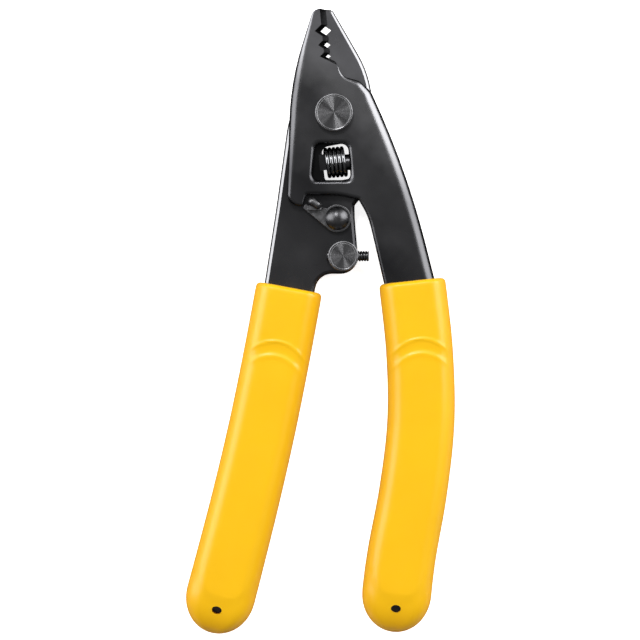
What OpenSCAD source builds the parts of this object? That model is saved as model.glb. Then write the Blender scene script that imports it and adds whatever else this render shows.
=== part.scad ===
// Three-hole fibre stripper, closed and latched, lying on its back.
// X points right, Y points to the jaws and Z points up from the table.
// The origin is on the pivot's axis, at the face that the tool rests on.

/* [Levers] */
// Thickness of each lever's plate
plate_t = 3; // [2.4:0.1:3.4]
// Gap between the two plates, which turn past each other
plate_gap = 0.1; // [0.05:0.05:0.3]
// Width of the steel inside the grips
tang_w = 12; // [9:0.5:12.5]
// How far the levers turn apart, in degrees
open_angle = 11; // [8:0.5:12]

/* [Jaws] */
// Distance from the pivot to the flat tip
jaw_reach = 28; // [26.5:0.5:30]
// How far the jaws' line leans to the left, in degrees
jaw_lean = 5.6; // [4:0.2:7]
// Width by which the two cutting edges pass each other
jaw_overlap = 1.1; // [0.6:0.1:1.4]
// Width of the slant behind each cutting edge
edge_slant = 1.65; // [1:0.05:2]
// Distance from the pivot to the jacket hole
jacket_hole_at = 22.35; // [21.8:0.05:23]
// Width of the jacket hole
jacket_hole_w = 2.8; // [2:0.1:3]
// Distance from the pivot to the buffer hole
buffer_hole_at = 18.5; // [18.3:0.05:18.8]
// Width of the buffer hole
buffer_hole_w = 1.65; // [1.2:0.05:1.8]
// Distance from the pivot to the coating hole
coating_hole_at = 15.4; // [15:0.05:15.6]
// Width of the coating hole
coating_hole_w = 1.35; // [1:0.05:1.6]
// Angle between the two sides of each V notch, in degrees
notch_angle = 78; // [70:1:82]

/* [Pivot] */
// Diameter of the rivet through both levers
pivot_d = 5; // [4:0.25:6]
// Diameter of the rivet's turned head
pivot_head_d = 10.2; // [8.5:0.1:11]
// Height of the rivet's head
pivot_head_h = 1.9; // [1.2:0.1:2.4]
// Diameter of the washer behind the levers
pivot_washer_d = 10; // [9:0.25:12]
// Thickness of that washer
pivot_washer_t = 1; // [0.6:0.1:1.4]
// Diameter of the rivet's closed end behind the washer
pivot_tail_d = 8.4; // [7:0.1:9]
// Gap at each side of a pin that turns in its hole
pin_fit = 0.05; // [0.02:0.01:0.1]
// Gap between flat faces that turn on each other
face_fit = 0.05; // [0.02:0.01:0.1]

/* [Spring] */
// Outer diameter of the coil
coil_d = 7.8; // [7:0.1:8.2]
// Diameter of the wire
wire_d = 0.95; // [0.7:0.05:1]
// Number of turns
coil_turns = 5; // [4:0.5:5]
// Gap between an end turn and the wall that it pushes on
coil_gap = 0.15; // [0.1:0.05:0.3]
// Length of each peg that holds an end of the coil
peg_len = 1.8; // [1:0.1:2.2]

/* [Latch] */
// Thickness of the latch
latch_t = 1.5; // [1.2:0.1:2]
// Radius of the latch round its rivet
latch_hub_r = 3.8; // [3.4:0.1:4.2]
// Diameter of the latch rivet's shank
latch_rivet_d = 3; // [2.5:0.1:3.5]
// Diameter of the latch rivet's domed head
latch_dome_d = 5.9; // [5.2:0.1:6.2]
// Height of that dome
latch_dome_h = 1.5; // [1:0.1:2]
// Diameter of the washer between latch and dome
latch_washer_d = 6.8; // [6.4:0.1:7.2]
// Thickness of that washer
latch_washer_t = 0.3; // [0.2:0.05:0.5]
// Thickness of the thumb tab, which passes over the front lever
tab_t = 1.3; // [1:0.1:2]

/* [Stop] */
// Diameter of the turned barrel
barrel_d = 8.2; // [7.4:0.1:8.4]
// Height of the barrel above its lever
barrel_h = 5; // [4.5:0.1:5.5]
// Diameter of the spigot that holds the barrel in its lever
barrel_spigot_d = 4.4; // [3.5:0.1:5]
// Diameter of the stop screw
screw_d = 2.5; // [2:0.1:2.6]
// Length of the stop screw
screw_len = 11.3; // [10.8:0.1:11.4]

/* [Grips] */
// Thickness of a grip over its pad
grip_t = 12; // [11:0.25:14]
// Width of a grip at its open end
grip_top_w = 18; // [17:0.25:19]
// Width of a grip at its round end
grip_end_w = 18.9; // [18:0.25:20]
// Height by which the collar and the pad stand up on the front of a grip
pad_rise = 0.6; // [0.3:0.1:1]
// Distance from the open end of a grip to the lower edge of its collar
collar_len = 14.8; // [12:0.2:16]
// Distance from the open end of a grip to its pad
pad_start = 18.7; // [17.6:0.1:21]
// Distance from the side of a grip to its pad
pad_margin = 3.4; // [2.6:0.1:3.8]
// Width of the oval locating hole
locator_w = 2.7; // [2.4:0.1:3]
// Height of the oval locating hole
locator_h = 2.1; // [1.6:0.1:2.2]
// Gap between a grip and the steel inside it
grip_fit = 0.05; // [0.02:0.01:0.1]

/* [Hidden] */
$fn = 64;

// Heights: the two plates meet at the middle of the grips
middle_z = grip_t / 2;
rear_front_z = middle_z - plate_gap / 2;
rear_back_z = rear_front_z - plate_t;
front_back_z = middle_z + plate_gap / 2;
front_front_z = front_back_z + plate_t;
washer_z = rear_back_z - face_fit - pivot_washer_t;
head_z = front_front_z + face_fit;
through = 3 * grip_t; // longer than any hole

// Places of the small parts, seen from the front
latch_at = [0.9, -28.4];
barrel_at = [2.5, -38.6];
stop_z = front_back_z + plate_t / 2; // the screw meets the middle of the front plate's edge

// Corners of the levers as [x, y, radius], from the tip round by the left
front_head = [
    [-1.1, jaw_reach, 0], [-5.55, jaw_reach, 2.3], [-11.75, 8.2, 75], [-12.65, -25, 3.2],
    [-8.45, -25, 0.6], [-7.3, -22.1, 0.6], [1.5, -22.15, 15], [6.6, -23.3, 0.6], [9.3, -27.8, 20],
    [14.9, -52, 60]
];
front_outer_edge = [[28.2, -48.8, 30], [19.5, -14.6, 225], [10.05, 5.7, 5]];
rear_left_edge = [[-12.2, -1, 30], [-15.5, -25, 150], [-19, -47.5, 40]];
rear_right_edge = [
    [-5.4, -49, 10], [-4.2, -43.3, 4.5], [6.9, -43.3, 4.6], [5.6, -28.5, 60],
    [5.6, -24.8, 1.2], [7, -23.1, 1], [10.2, -19.3, 4], [10.4, -0.5, 25], [10.3, 9.5, 28],
    [-0.4, jaw_reach, 1.6]
];
// The shoulder beside the jaws, across and along the jaws' line, the same on both levers
shoulder = [[3.1, 9.6, 3.2], [7.75, 7.95, 4.6]];
shoulder_top = [1.45, 14.7, 0];

// How far the sides of a rounded outline may lie inside its true arcs
chord_depth = 0.02;
// Slope of the shoulder line that runs on from the coating hole's notch, in degrees
shoulder_slope = 31.5;

// Corners of the spring window in the front lever
window = [[-5.1, -8.3, 1], [-5.9, -18.1, 1], [4.6, -18.1, 1], [3.8, -8.3, 1]];
spring_axis_y = -13.2;
spring_tilt = 5;
peg_fit = 0.4;

// The latch: its arm's end, and the thumb tab with the neck that carries it
latch_z = rear_front_z + face_fit;
latch_arm = [[-7.8, -24.6], [-8.35, -25.7]];
tab_neck = [[-6.9, -25, 0.3], [-6.9, -26.2, 0.3], [-3.6, -26.2, 0.3], [-3.6, -25.6, 0.2]];
tab_corners = [[-7.1, -22.7, 0.9], [-7.2, -25.9, 0.9], [-3.3, -26.3, 0.9], [-3.2, -22.8, 0.9]];
tab_gap = 0.1;

// Small bevels, closed ends of the rivets and the screw's slot
head_bevel = 0.4;
tail_h = 0.6;
tail_rim = 1.6;
screw_proud = 0.3;
slot_w = 0.5;

// Middle lines of the two grips, from their open ends
left_line = [[-12, -47], [-15.5, -65.8], [-19.3, -84.5], [-23.6, -103.1], [-28.3, -121.6], [-33.2, -140.2]];
right_line = [[21.1, -45.2], [23.1, -64], [23.5, -83], [21.4, -102], [18, -121], [15.9, -140]];
grip_round = 10.5; // length of the rounding at a grip's closed end
grip_lip = 1.3; // rounding at its open end
grip_square = 3; // how square its section is: 2 is an ellipse
grip_sides = 40;
back_flat = 0.15; // what is cut off its back to make that flat
pad_bow = 2.2; // how far the dip between collar and pad bows down at its sides
dip_slope = 1.6; // length of the slope on each side of the dip
pad_side = 1.6; // width of the slope beside the collar and the pad
pad_foot = 3.9; // length of the slope at the pad's lower end
collar_margin = 2.3;
locator_from_end = 6.7;
tang_from_end = 3.8;

// ---- Outlines ----

function unit(v) = v / norm(v);
function turned(p, angle) = [p.x * cos(angle) - p.y * sin(angle), p.x * sin(angle) + p.y * cos(angle)];
function flat(p) = [p.x, p.y];
function smooth(x) = let (c = min(max(x, 0), 1)) c * c * (3 - 2 * c);

// The points of one corner, rounded by an arc that touches both its sides
function rounded_corner(before, at, after) =
    let (
        back = unit(flat(before) - flat(at)),
        ahead = unit(flat(after) - flat(at)),
        half = acos(back * ahead) / 2,
        centre = flat(at) + unit(back + ahead) * at[2] / sin(half),
        first = flat(at) + back * at[2] / tan(half),
        side = cross(back, ahead) > 0 ? -1 : 1,
        step = at[2] == 0 ? 1 : min(12, 2 * acos(1 - min(chord_depth / at[2], 1))),
        steps = ceil((180 - 2 * half) / step)
    )
    at[2] == 0 ? [flat(at)]
        : [for (i = [0 : steps]) centre + turned(first - centre, side * (180 - 2 * half) * i / steps)];

function rounded(corners) =
    let (n = len(corners))
    [for (i = [0 : n - 1]) each rounded_corner(corners[(i + n - 1) % n], corners[i], corners[(i + 1) % n])];

// A closed outline moved inwards by a distance, every side parallel to what it was
function inset(outline, distance) =
    let (n = len(outline))
    [for (i = [0 : n - 1])
        let (
            a = turned(unit(outline[i] - outline[(i + n - 1) % n]), 90),
            b = turned(unit(outline[(i + 1) % n] - outline[i]), 90)
        )
        outline[i] + (a + b) * distance / (1 + a * b)];

// A corner given across and along the jaws' line, and its mirror image across that line
function from_jaw(p) = concat(turned(flat(p), jaw_lean), [p[2]]);
function mirrored(p) = [-p.x, p.y, p[2]];

// Where the line from a to b crosses a height
function wall_x(a, b, y) = a.x + (b.x - a.x) * (y - a.y) / (b.y - a.y);

// ---- Spring seat ----

// The rear window is the front one as it stands when the levers are wide open
rear_window = [for (p = window) concat(turned(flat(p), open_angle), [p[2]])];
coil_left = wall_x(rear_window[0], rear_window[1], spring_axis_y);
coil_right = wall_x(window[3], window[2], spring_axis_y);
coil_middle = (coil_left + coil_right) / 2;
coil_len = (coil_right - coil_left) * cos(spring_tilt) - 2 * coil_gap;

// ---- Grip lines ----

// A smooth curve through evenly spread points, at a share t of its way
function spline(points, t) =
    let (
        last = len(points) - 1,
        i = min(floor(t * last), last - 1),
        f = t * last - i,
        b = points[i],
        c = points[i + 1],
        a = i > 0 ? points[i - 1] : 2 * b - c,
        d = i + 1 < last ? points[i + 2] : 2 * c - b
    )
    b + f * (c - a) / 2 + f * f * (2 * a - 5 * b + 4 * c - d) / 2 + f * f * f * (3 * b - a - 3 * c + d) / 2;

function line_length(line) = norm(line[len(line) - 1] - line[0]);
function heading(line, t) = unit(spline(line, min(t + 0.01, 1)) - spline(line, max(t - 0.01, 0)));
function beside(line, t, across) = spline(line, t) + across * turned(heading(line, t), 90);

// Corners of the steel in a grip, down its left side and up its right
function tang(line) =
    let (end = 1 - tang_from_end / line_length(line))
    concat(
        [for (t = [0.22, 0.42, 0.62, 0.82]) concat(beside(line, t, -tang_w / 2), [60])],
        [for (side = [-1, 1]) concat(beside(line, end, side * tang_w / 2), [tang_w / 2 - 0.2])],
        [for (t = [0.82, 0.62, 0.42, 0.22]) concat(beside(line, t, tang_w / 2), [60])]
    );

function front_outline() = rounded(concat(
    front_head, tang(right_line), front_outer_edge,
    [from_jaw(shoulder[1]), from_jaw(shoulder[0]), from_jaw(shoulder_top)]
));
function rear_outline() = rounded(concat(
    [from_jaw([-1.6, jaw_reach + 0.3, 0]), from_jaw(mirrored(shoulder_top))],
    [from_jaw(mirrored(shoulder[0])), from_jaw(mirrored(shoulder[1]))],
    rear_left_edge, tang(left_line), rear_right_edge
));

// ---- Solids ----

// A closed solid through a stack of rings, each with the same number of points
module skin(rings) {
    n = len(rings[0]);
    last = len(rings) - 1;
    sides = [for (k = [0 : last - 1]) for (i = [0 : n - 1])
        let (next = (i + 1) % n)
        [k * n + i, (k + 1) * n + i, (k + 1) * n + next, k * n + next]];
    polyhedron(
        points = [for (ring = rings) each ring],
        faces = concat([[for (i = [0 : n - 1]) i]], sides, [[for (i = [n - 1 : -1 : 0]) last * n + i]])
    );
}

// A lever's flat plate, standing at a height
module plate(outline, height) {
    translate([0, 0, height]) linear_extrude(height = plate_t) polygon(outline);
}

module through_hole(at, d) {
    translate([at.x, at.y, -through / 2]) cylinder(d = d, h = through);
}

// ---- Jaws ----

// What is cut away beside a cutting edge, with the V notches of the three holes
module jaw_cut(height, turn) {
    slant = atan(edge_slant / plate_t);
    edge = jaw_overlap / 2;
    far = 6;
    holes = [[coating_hole_at, coating_hole_w], [buffer_hole_at, buffer_hole_w], [jacket_hole_at, jacket_hole_w]];
    notches = [for (hole = holes)
        let (at = hole[0], deep = hole[1] / 2, half = (deep + edge) * tan(notch_angle / 2))
        each [[edge, at - half], [-deep, at], [edge, at + half]]];
    apex = notches[1];
    low = [far, apex.y - (far - apex.x) * tan(shoulder_slope)];
    zigzag = concat([low], [for (i = [1 : len(notches) - 1]) notches[i]]);
    top = jaw_reach + far;
    rotate([0, 0, jaw_lean])
        translate([0, 0, height])
            rotate([0, turn - slant, 0])
                linear_extrude(height = through, center = true)
                    polygon([for (p = concat(zigzag, [[edge, top], [far, top]])) [p.x * cos(slant), p.y]]);
}

// ---- Spring ----

module along_spring() {
    translate([coil_middle, spring_axis_y, middle_z]) rotate([0, 90, spring_tilt]) children();
}

module window_hole(corners) {
    translate([0, 0, -through / 2]) linear_extrude(height = through) polygon(rounded(corners));
}

// A half-round peg inside one end of the coil, as thick as the plate that it grows from
module spring_peg(side, back) {
    root = 1;
    intersection() {
        along_spring()
            mirror([0, 0, side < 0 ? 1 : 0])
                translate([0, 0, coil_len / 2 + coil_gap - peg_len])
                    cylinder(r = coil_d / 2 - wire_d - peg_fit, h = peg_len + root);
        translate([-through, -through, back]) cube([2 * through, 2 * through, plate_t]);
    }
}

// ---- Parts ----

module rear_lever() {
    color("dimgray") {
        difference() {
            plate(rear_outline(), rear_back_z);
            jaw_cut(rear_front_z, 180);
            through_hole([0, 0], pivot_d + 2 * pin_fit);
            through_hole(latch_at, latch_rivet_d + 2 * pin_fit);
            through_hole(barrel_at, barrel_spigot_d + 2 * pin_fit);
            window_hole(rear_window);
        }
        spring_peg(-1, rear_back_z);
    }
}

module front_lever() {
    color("gray") {
        difference() {
            plate(front_outline(), front_back_z);
            jaw_cut(front_back_z, 0);
            through_hole([0, 0], pivot_d + 2 * pin_fit);
            window_hole(window);
        }
        spring_peg(1, front_back_z);
    }
}

// A disc whose upper edge is bevelled, standing at a height
module turned_disc(d, height, h, bevel) {
    translate([0, 0, height])
        rotate_extrude() polygon([[0, 0], [d / 2, 0], [d / 2, h - bevel], [d / 2 - bevel, h], [0, h]]);
}

module pivot_rivet() {
    color("slategray") {
        turned_disc(pivot_head_d, head_z, pivot_head_h, head_bevel);
        translate([0, 0, head_bevel]) cylinder(d = pivot_d, h = head_z);
        translate([0, 0, washer_z]) mirror([0, 0, 1]) turned_disc(pivot_tail_d, 0, washer_z, head_bevel);
    }
}

module pivot_washer() {
    color("silver") difference() {
        translate([0, 0, washer_z]) cylinder(d = pivot_washer_d, h = pivot_washer_t);
        through_hole([0, 0], pivot_d + 2 * pin_fit);
    }
}

module opening_spring() {
    radius = (coil_d - wire_d) / 2;
    turn_steps = 20;
    wire_sides = 8;
    steps = coil_turns * turn_steps;
    rise = coil_len - wire_d;
    color("lightsteelblue") along_spring()
        skin([for (k = [0 : steps])
            let (angle = 360 * k / turn_steps)
            [for (i = [0 : wire_sides - 1])
                let (side = 360 * i / wire_sides, r = radius + wire_d / 2 * sin(side))
                [r * cos(angle), r * sin(angle), rise * (k / steps - 0.5) + wire_d / 2 * cos(side)]]]);
}

// The latch's outline: a round hub, and an arm whose end stops the tooth of the front lever
module latch_outline() {
    translate(latch_at) circle(r = latch_hub_r);
    low = latch_arm[1];
    reach = norm(low - latch_at);
    meets = latch_at + turned(unit(low - latch_at), acos(latch_hub_r / reach)) * latch_hub_r;
    polygon([latch_arm[0], low, meets, latch_at, latch_at + [-1, latch_hub_r - 1.4]]);
}

module lock_latch() {
    tab_z = front_front_z + tab_gap;
    color("steelblue") difference() {
        union() {
            translate([0, 0, latch_z]) linear_extrude(height = latch_t) latch_outline();
            translate([0, 0, latch_z]) linear_extrude(height = tab_z - latch_z) polygon(rounded(tab_neck));
            translate([0, 0, tab_z]) linear_extrude(height = tab_t) polygon(rounded(tab_corners));
        }
        through_hole(latch_at, latch_rivet_d + 2 * pin_fit);
    }
}

module latch_washer() {
    color("silver") difference() {
        translate([latch_at.x, latch_at.y, latch_z + latch_t + face_fit])
            cylinder(d = latch_washer_d, h = latch_washer_t);
        through_hole(latch_at, latch_rivet_d + 2 * pin_fit);
    }
}

module latch_rivet() {
    dome_z = latch_z + latch_t + latch_washer_t + 2 * face_fit;
    dome_r = (pow(latch_dome_d / 2, 2) + pow(latch_dome_h, 2)) / (2 * latch_dome_h);
    color("lightslategray") translate([latch_at.x, latch_at.y, 0]) {
        intersection() {
            translate([0, 0, dome_z + latch_dome_h - dome_r]) sphere(r = dome_r);
            translate([0, 0, dome_z]) cylinder(r = dome_r, h = latch_dome_h);
        }
        translate([0, 0, rear_back_z - tail_h]) cylinder(d = latch_rivet_d, h = dome_z - rear_back_z + tail_h + 0.5);
        translate([0, 0, rear_back_z]) mirror([0, 0, 1]) turned_disc(latch_rivet_d + tail_rim, 0, tail_h, tail_h / 2);
    }
}

module along_screw() {
    translate([barrel_at.x - barrel_d / 2 - screw_proud, barrel_at.y, stop_z]) rotate([0, 90, 0]) children();
}

module stop_barrel() {
    color("slategray") difference() {
        translate([barrel_at.x, barrel_at.y, 0]) {
            turned_disc(barrel_d, rear_front_z, barrel_h, head_bevel);
            translate([0, 0, rear_back_z - tail_h]) cylinder(d = barrel_spigot_d, h = plate_t + tail_h + 0.5);
            translate([0, 0, rear_back_z]) mirror([0, 0, 1])
                turned_disc(barrel_spigot_d + tail_rim, 0, tail_h, tail_h / 2);
        }
        along_screw() translate([0, 0, -through / 2]) cylinder(d = screw_d + 2 * pin_fit, h = through);
    }
}

module stop_screw() {
    tip = 0.6;
    color("darkslategray") difference() {
        along_screw() rotate_extrude()
            polygon([
                [0, 0], [screw_d / 2, 0], [screw_d / 2, screw_len - tip],
                [screw_d / 2 - tip, screw_len], [0, screw_len]
            ]);
        along_screw() cube([slot_w, through, 2 * slot_w], center = true);
    }
}

// ---- Grips ----

// How far the front stands up there, on the collar or the pad, where the grip is half_w wide each side
function front_rise(across, along, length, half_w) =
    let (
        bow = pad_bow * pow(across / half_w, 2),
        collar = smooth((collar_len + bow - along) / dip_slope + 1)
            * smooth((half_w - collar_margin - abs(across)) / pad_side + 1),
        pad = smooth((along - pad_start - bow) / dip_slope + 1)
            * smooth((half_w - pad_margin - abs(across)) / pad_side + 1)
            * smooth((length - grip_round - along) / pad_foot + 1)
    )
    pad_rise * max(collar, pad);

// One ring round a grip, at a distance along its line
function grip_ring(line, along, length) =
    let (
        t = along / length,
        closed = max(1 - (length - along) / grip_round, 0),
        open = max(1 - along / grip_lip, 0),
        lip = grip_lip * (1 - sqrt(1 - open * open)),
        end = sqrt(1 - closed * closed),
        half_w = (grip_top_w + (grip_end_w - grip_top_w) * t * t) / 2 * end - lip,
        end_z = pow(end, 0.6),
        front_h = (middle_z - pad_rise) * end_z - lip,
        back_h = (middle_z + back_flat) * end_z - lip,
        middle = spline(line, t),
        side = turned(heading(line, t), 90)
    )
    [for (i = [0 : grip_sides - 1])
        let (
            angle = 360 * i / grip_sides,
            x = sign(cos(angle)) * pow(abs(cos(angle)), 2 / grip_square) * half_w,
            up = pow(abs(sin(angle)), 2 / grip_square),
            p = middle + side * x,
            z = middle_z + (sin(angle) > 0 ? front_h : -back_h) * up
        )
        [p.x, p.y, max(z, 0) + (sin(angle) > 0.1 ? front_rise(x, along, length, half_w) : 0)]];

// Distances of the rings along a grip: close together at its lip, dip and round end
function grip_stations(length) =
    let (
        dip_start = collar_len - 0.2,
        dip_end = pad_start + pad_bow + 0.2,
        pad_end = length - grip_round
    )
    concat(
        [for (f = [0, 0.2, 0.5, 1]) grip_lip * f],
        [for (f = [0.2 : 0.2 : 0.8]) grip_lip + (dip_start - grip_lip) * f],
        [for (i = [0 : 12]) dip_start + (dip_end - dip_start) * i / 12],
        [for (f = [0.1 : 0.1 : 0.9]) dip_end + (pad_end - dip_end) * f],
        [for (angle = [0, 15, 30, 42, 54, 65, 75, 84]) pad_end + grip_round * sin(angle)]
    );

module grip(line, lever_outline, back) {
    length = line_length(line);
    locator = spline(line, 1 - locator_from_end / length);
    lean = heading(line, 0.95);
    difference() {
        skin([for (along = grip_stations(length)) grip_ring(line, along, length)]);
        translate([0, 0, back - grip_fit])
            linear_extrude(height = plate_t + 2 * grip_fit) polygon(inset(lever_outline, -grip_fit));
        translate([locator.x, locator.y, -through / 2])
            rotate([0, 0, atan2(lean.x, -lean.y)])
                linear_extrude(height = through) oval(locator_w, locator_h);
    }
}

module oval(w, h) {
    for (side = [-1, 1]) translate([side * (w - h) / 2, 0]) circle(d = h);
    square([w - h, h], center = true);
}

module left_grip() {
    color("gold") grip(left_line, rear_outline(), rear_back_z);
}

module right_grip() {
    color("goldenrod") grip(right_line, front_outline(), front_back_z);
}

rear_lever();
front_lever();
pivot_rivet();
pivot_washer();
opening_spring();
lock_latch();
latch_washer();
latch_rivet();
stop_barrel();
stop_screw();
left_grip();
right_grip();
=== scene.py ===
import math
import bmesh
import bpy
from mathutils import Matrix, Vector
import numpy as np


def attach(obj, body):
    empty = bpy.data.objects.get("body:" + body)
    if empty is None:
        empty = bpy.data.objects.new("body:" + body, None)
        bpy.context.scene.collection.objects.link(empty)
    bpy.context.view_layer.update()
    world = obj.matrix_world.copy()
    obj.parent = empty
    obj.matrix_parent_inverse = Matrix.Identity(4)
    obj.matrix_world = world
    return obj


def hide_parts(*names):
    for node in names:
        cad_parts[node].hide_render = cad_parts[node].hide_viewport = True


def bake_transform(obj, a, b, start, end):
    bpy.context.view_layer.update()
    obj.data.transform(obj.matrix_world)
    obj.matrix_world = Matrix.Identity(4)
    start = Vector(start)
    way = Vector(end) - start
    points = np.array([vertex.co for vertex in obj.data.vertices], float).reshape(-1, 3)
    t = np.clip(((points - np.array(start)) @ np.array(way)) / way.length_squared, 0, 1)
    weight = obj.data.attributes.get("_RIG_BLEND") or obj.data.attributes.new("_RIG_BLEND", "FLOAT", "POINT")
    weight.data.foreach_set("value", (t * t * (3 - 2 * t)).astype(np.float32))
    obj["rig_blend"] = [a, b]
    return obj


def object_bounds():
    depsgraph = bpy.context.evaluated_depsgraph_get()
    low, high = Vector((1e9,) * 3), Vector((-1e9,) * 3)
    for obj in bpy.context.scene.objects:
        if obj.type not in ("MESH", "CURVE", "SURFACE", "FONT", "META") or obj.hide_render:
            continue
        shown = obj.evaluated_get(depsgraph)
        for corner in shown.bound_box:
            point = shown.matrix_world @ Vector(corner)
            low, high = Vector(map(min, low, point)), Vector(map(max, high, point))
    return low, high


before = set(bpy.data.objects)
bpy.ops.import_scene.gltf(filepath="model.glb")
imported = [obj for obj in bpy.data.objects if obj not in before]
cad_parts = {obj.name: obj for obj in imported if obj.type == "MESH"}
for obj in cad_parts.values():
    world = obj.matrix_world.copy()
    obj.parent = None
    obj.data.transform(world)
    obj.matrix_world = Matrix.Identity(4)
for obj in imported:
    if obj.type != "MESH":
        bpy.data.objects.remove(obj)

cadBox = [[float(c) for c in corner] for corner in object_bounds()]
mm = 0.001
weld = 0.002 * mm  # points closer than this are joined
tiny = 0.001 * mm  # a length that counts as nothing
level = 0.999  # least Z in the normal of a level face
manyCorners = 20  # the outline of a lever has more corners than this
through = 40  # length in mm of a cutter that passes right through a piece
lowNoise, highNoise = 0.3, 0.7  # nearly all values of a noise lie between these


def say(text):
    print("stripper:", text)


def deselectAll():
    for item in bpy.context.selected_objects:
        item.select_set(False)


def makeActive(piece):
    deselectAll()
    piece.select_set(True)
    bpy.context.view_layer.objects.active = piece


def startEdit(piece):
    makeActive(piece)
    bpy.ops.object.mode_set(mode="EDIT")


def endEdit():
    bpy.ops.object.mode_set(mode="OBJECT")


def pick(piece, kind, rule):  # selects the edges or faces that pass a rule, in edit mode
    bpy.ops.mesh.select_mode(type=kind)
    bpy.ops.mesh.select_all(action="DESELECT")
    shape = bmesh.from_edit_mesh(piece.data)
    for item in shape.edges if kind == "EDGE" else shape.faces:
        if rule(item):
            item.select_set(True)
    bmesh.update_edit_mesh(piece.data)


def drawnOut(x, y, z):  # extrudes what is selected, in mm
    bpy.ops.mesh.extrude_region_move(TRANSFORM_OT_translate={"value": (x * mm, y * mm, z * mm)})


def scaledAbout(factors, centre):  # resizes what is selected about a point in mm
    bpy.ops.transform.resize(value=factors, center_override=tuple(c * mm for c in centre))


def cutOff(point, way, near=0.1 * mm):  # removes what lies beyond a plane, and closes the cut
    bpy.ops.mesh.select_all(action="SELECT")
    bpy.ops.mesh.bisect(plane_co=point, plane_no=way, use_fill=True, clear_outer=True, threshold=near)


def facedOut():  # points all faces of a closed piece outwards
    bpy.ops.mesh.select_all(action="SELECT")
    bpy.ops.mesh.normals_make_consistent(inside=False)


def started(name):  # names the primitive that was just added
    piece = bpy.context.active_object
    piece.name = name
    piece.data.name = name
    return piece


def applied(piece, kind, settings):  # adds a modifier and applies it
    makeActive(piece)
    modifier = piece.modifiers.new(kind.title(), kind)
    for name, value in settings.items():
        setattr(modifier, name, value)
    bpy.ops.object.modifier_apply(modifier=modifier.name)


def placed(piece):  # puts the object's own place into its mesh
    makeActive(piece)
    bpy.ops.object.transform_apply(location=True, rotation=True, scale=True)


def shaded(piece, angle):
    makeActive(piece)
    bpy.ops.object.shade_smooth_by_angle(angle=math.radians(angle))
    applied(piece, "WEIGHTED_NORMAL", {"keep_sharp": True, "weight": 50})


def copyOfPart(node, name):  # a clean copy of a CAD solid, its triangles joined into faces
    piece = bpy.data.objects.new(name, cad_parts[node].data.copy())
    piece.data.name = name
    piece.data.materials.clear()
    bpy.context.scene.collection.objects.link(piece)
    makeActive(piece)
    bpy.ops.mesh.customdata_custom_splitnormals_clear()
    startEdit(piece)
    bpy.ops.mesh.select_all(action="SELECT")
    bpy.ops.mesh.remove_doubles(threshold=weld)
    bpy.ops.mesh.dissolve_limited(angle_limit=math.radians(0.4))
    endEdit()
    return piece


def combined(piece, other, how):  # a boolean with a closed piece, which is then removed
    applied(piece, "BOOLEAN", {"operation": how, "object": other, "solver": "EXACT"})
    bpy.data.objects.remove(other)


def smoothStep(x):
    x = min(max(x, 0), 1)
    return x * x * (3 - 2 * x)


def colourOf(code):  # sRGB hex to the linear values that a shader works with
    parts = [int(code[i:i + 2], 16) / 255 for i in (1, 3, 5)]
    return tuple(c / 12.92 if c <= 0.04045 else ((c + 0.055) / 1.055) ** 2.4 for c in parts) + (1,)


def addNode(tree, kind, settings=None, links=None):
    node = tree.nodes.new(kind)
    for name, value in (settings or {}).items():
        if name == "stops":  # places and colours of a ramp
            elements = node.color_ramp.elements
            while len(elements) < len(value):
                elements.new(0.5)
            for element, (position, code) in zip(elements, value):
                element.position = position
                element.color = colourOf(code)
        elif isinstance(name, int) or name[0].isupper():
            node.inputs[name].default_value = value
        else:
            setattr(node, name, value)
    for name, socket in (links or {}).items():
        tree.links.new(socket, node.inputs[name])
    return node


def newMaterial(name, surface):
    material = bpy.data.materials.new(name)
    material.use_nodes = True
    tree = material.node_tree
    tree.nodes.clear()
    shader = addNode(tree, "ShaderNodeBsdfPrincipled", surface)
    addNode(tree, "ShaderNodeOutputMaterial", None, {"Surface": shader.outputs[0]})
    place = addNode(tree, "ShaderNodeTexCoord").outputs["Object"]
    return material, tree, shader.inputs, place


# Blackened carbon steel, ground and then blacked in a salt bath: a satin grey-black, with
# painted light and shade in its colour: lighter towards the jaws and darker towards the grips
leverFinish = {
    "paintedShades": [(0.0, "#505052"), (0.28, "#3a3a3c"), (0.42, "#505052"),
               (0.6, "#4e4e50"), (0.74, "#707072"), (1.0, "#76767a")],
    "tipY": 28, "gripY": -48, "acrossShare": 0.014,  # the painted shades run from gripY to tipY, and on by mm of X
    "drift": 0.05,  # most that the clouds shift the shades
    "roughness": (0.25, 0.31),
    "grainMm": 0.35, "cloudMm": 9,  # the grain is drawn coarser than the real one, so that it shows
    # recessAt, recessR, recessZ and the colour after them paint shade into the window's recess
    "recessAt": (-0.7, -13.2, 5.5), "recessR": (6.5, 8), "recessZ": (5.97, 6.03), "paintedRecessShade": "#262627",
}


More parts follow.
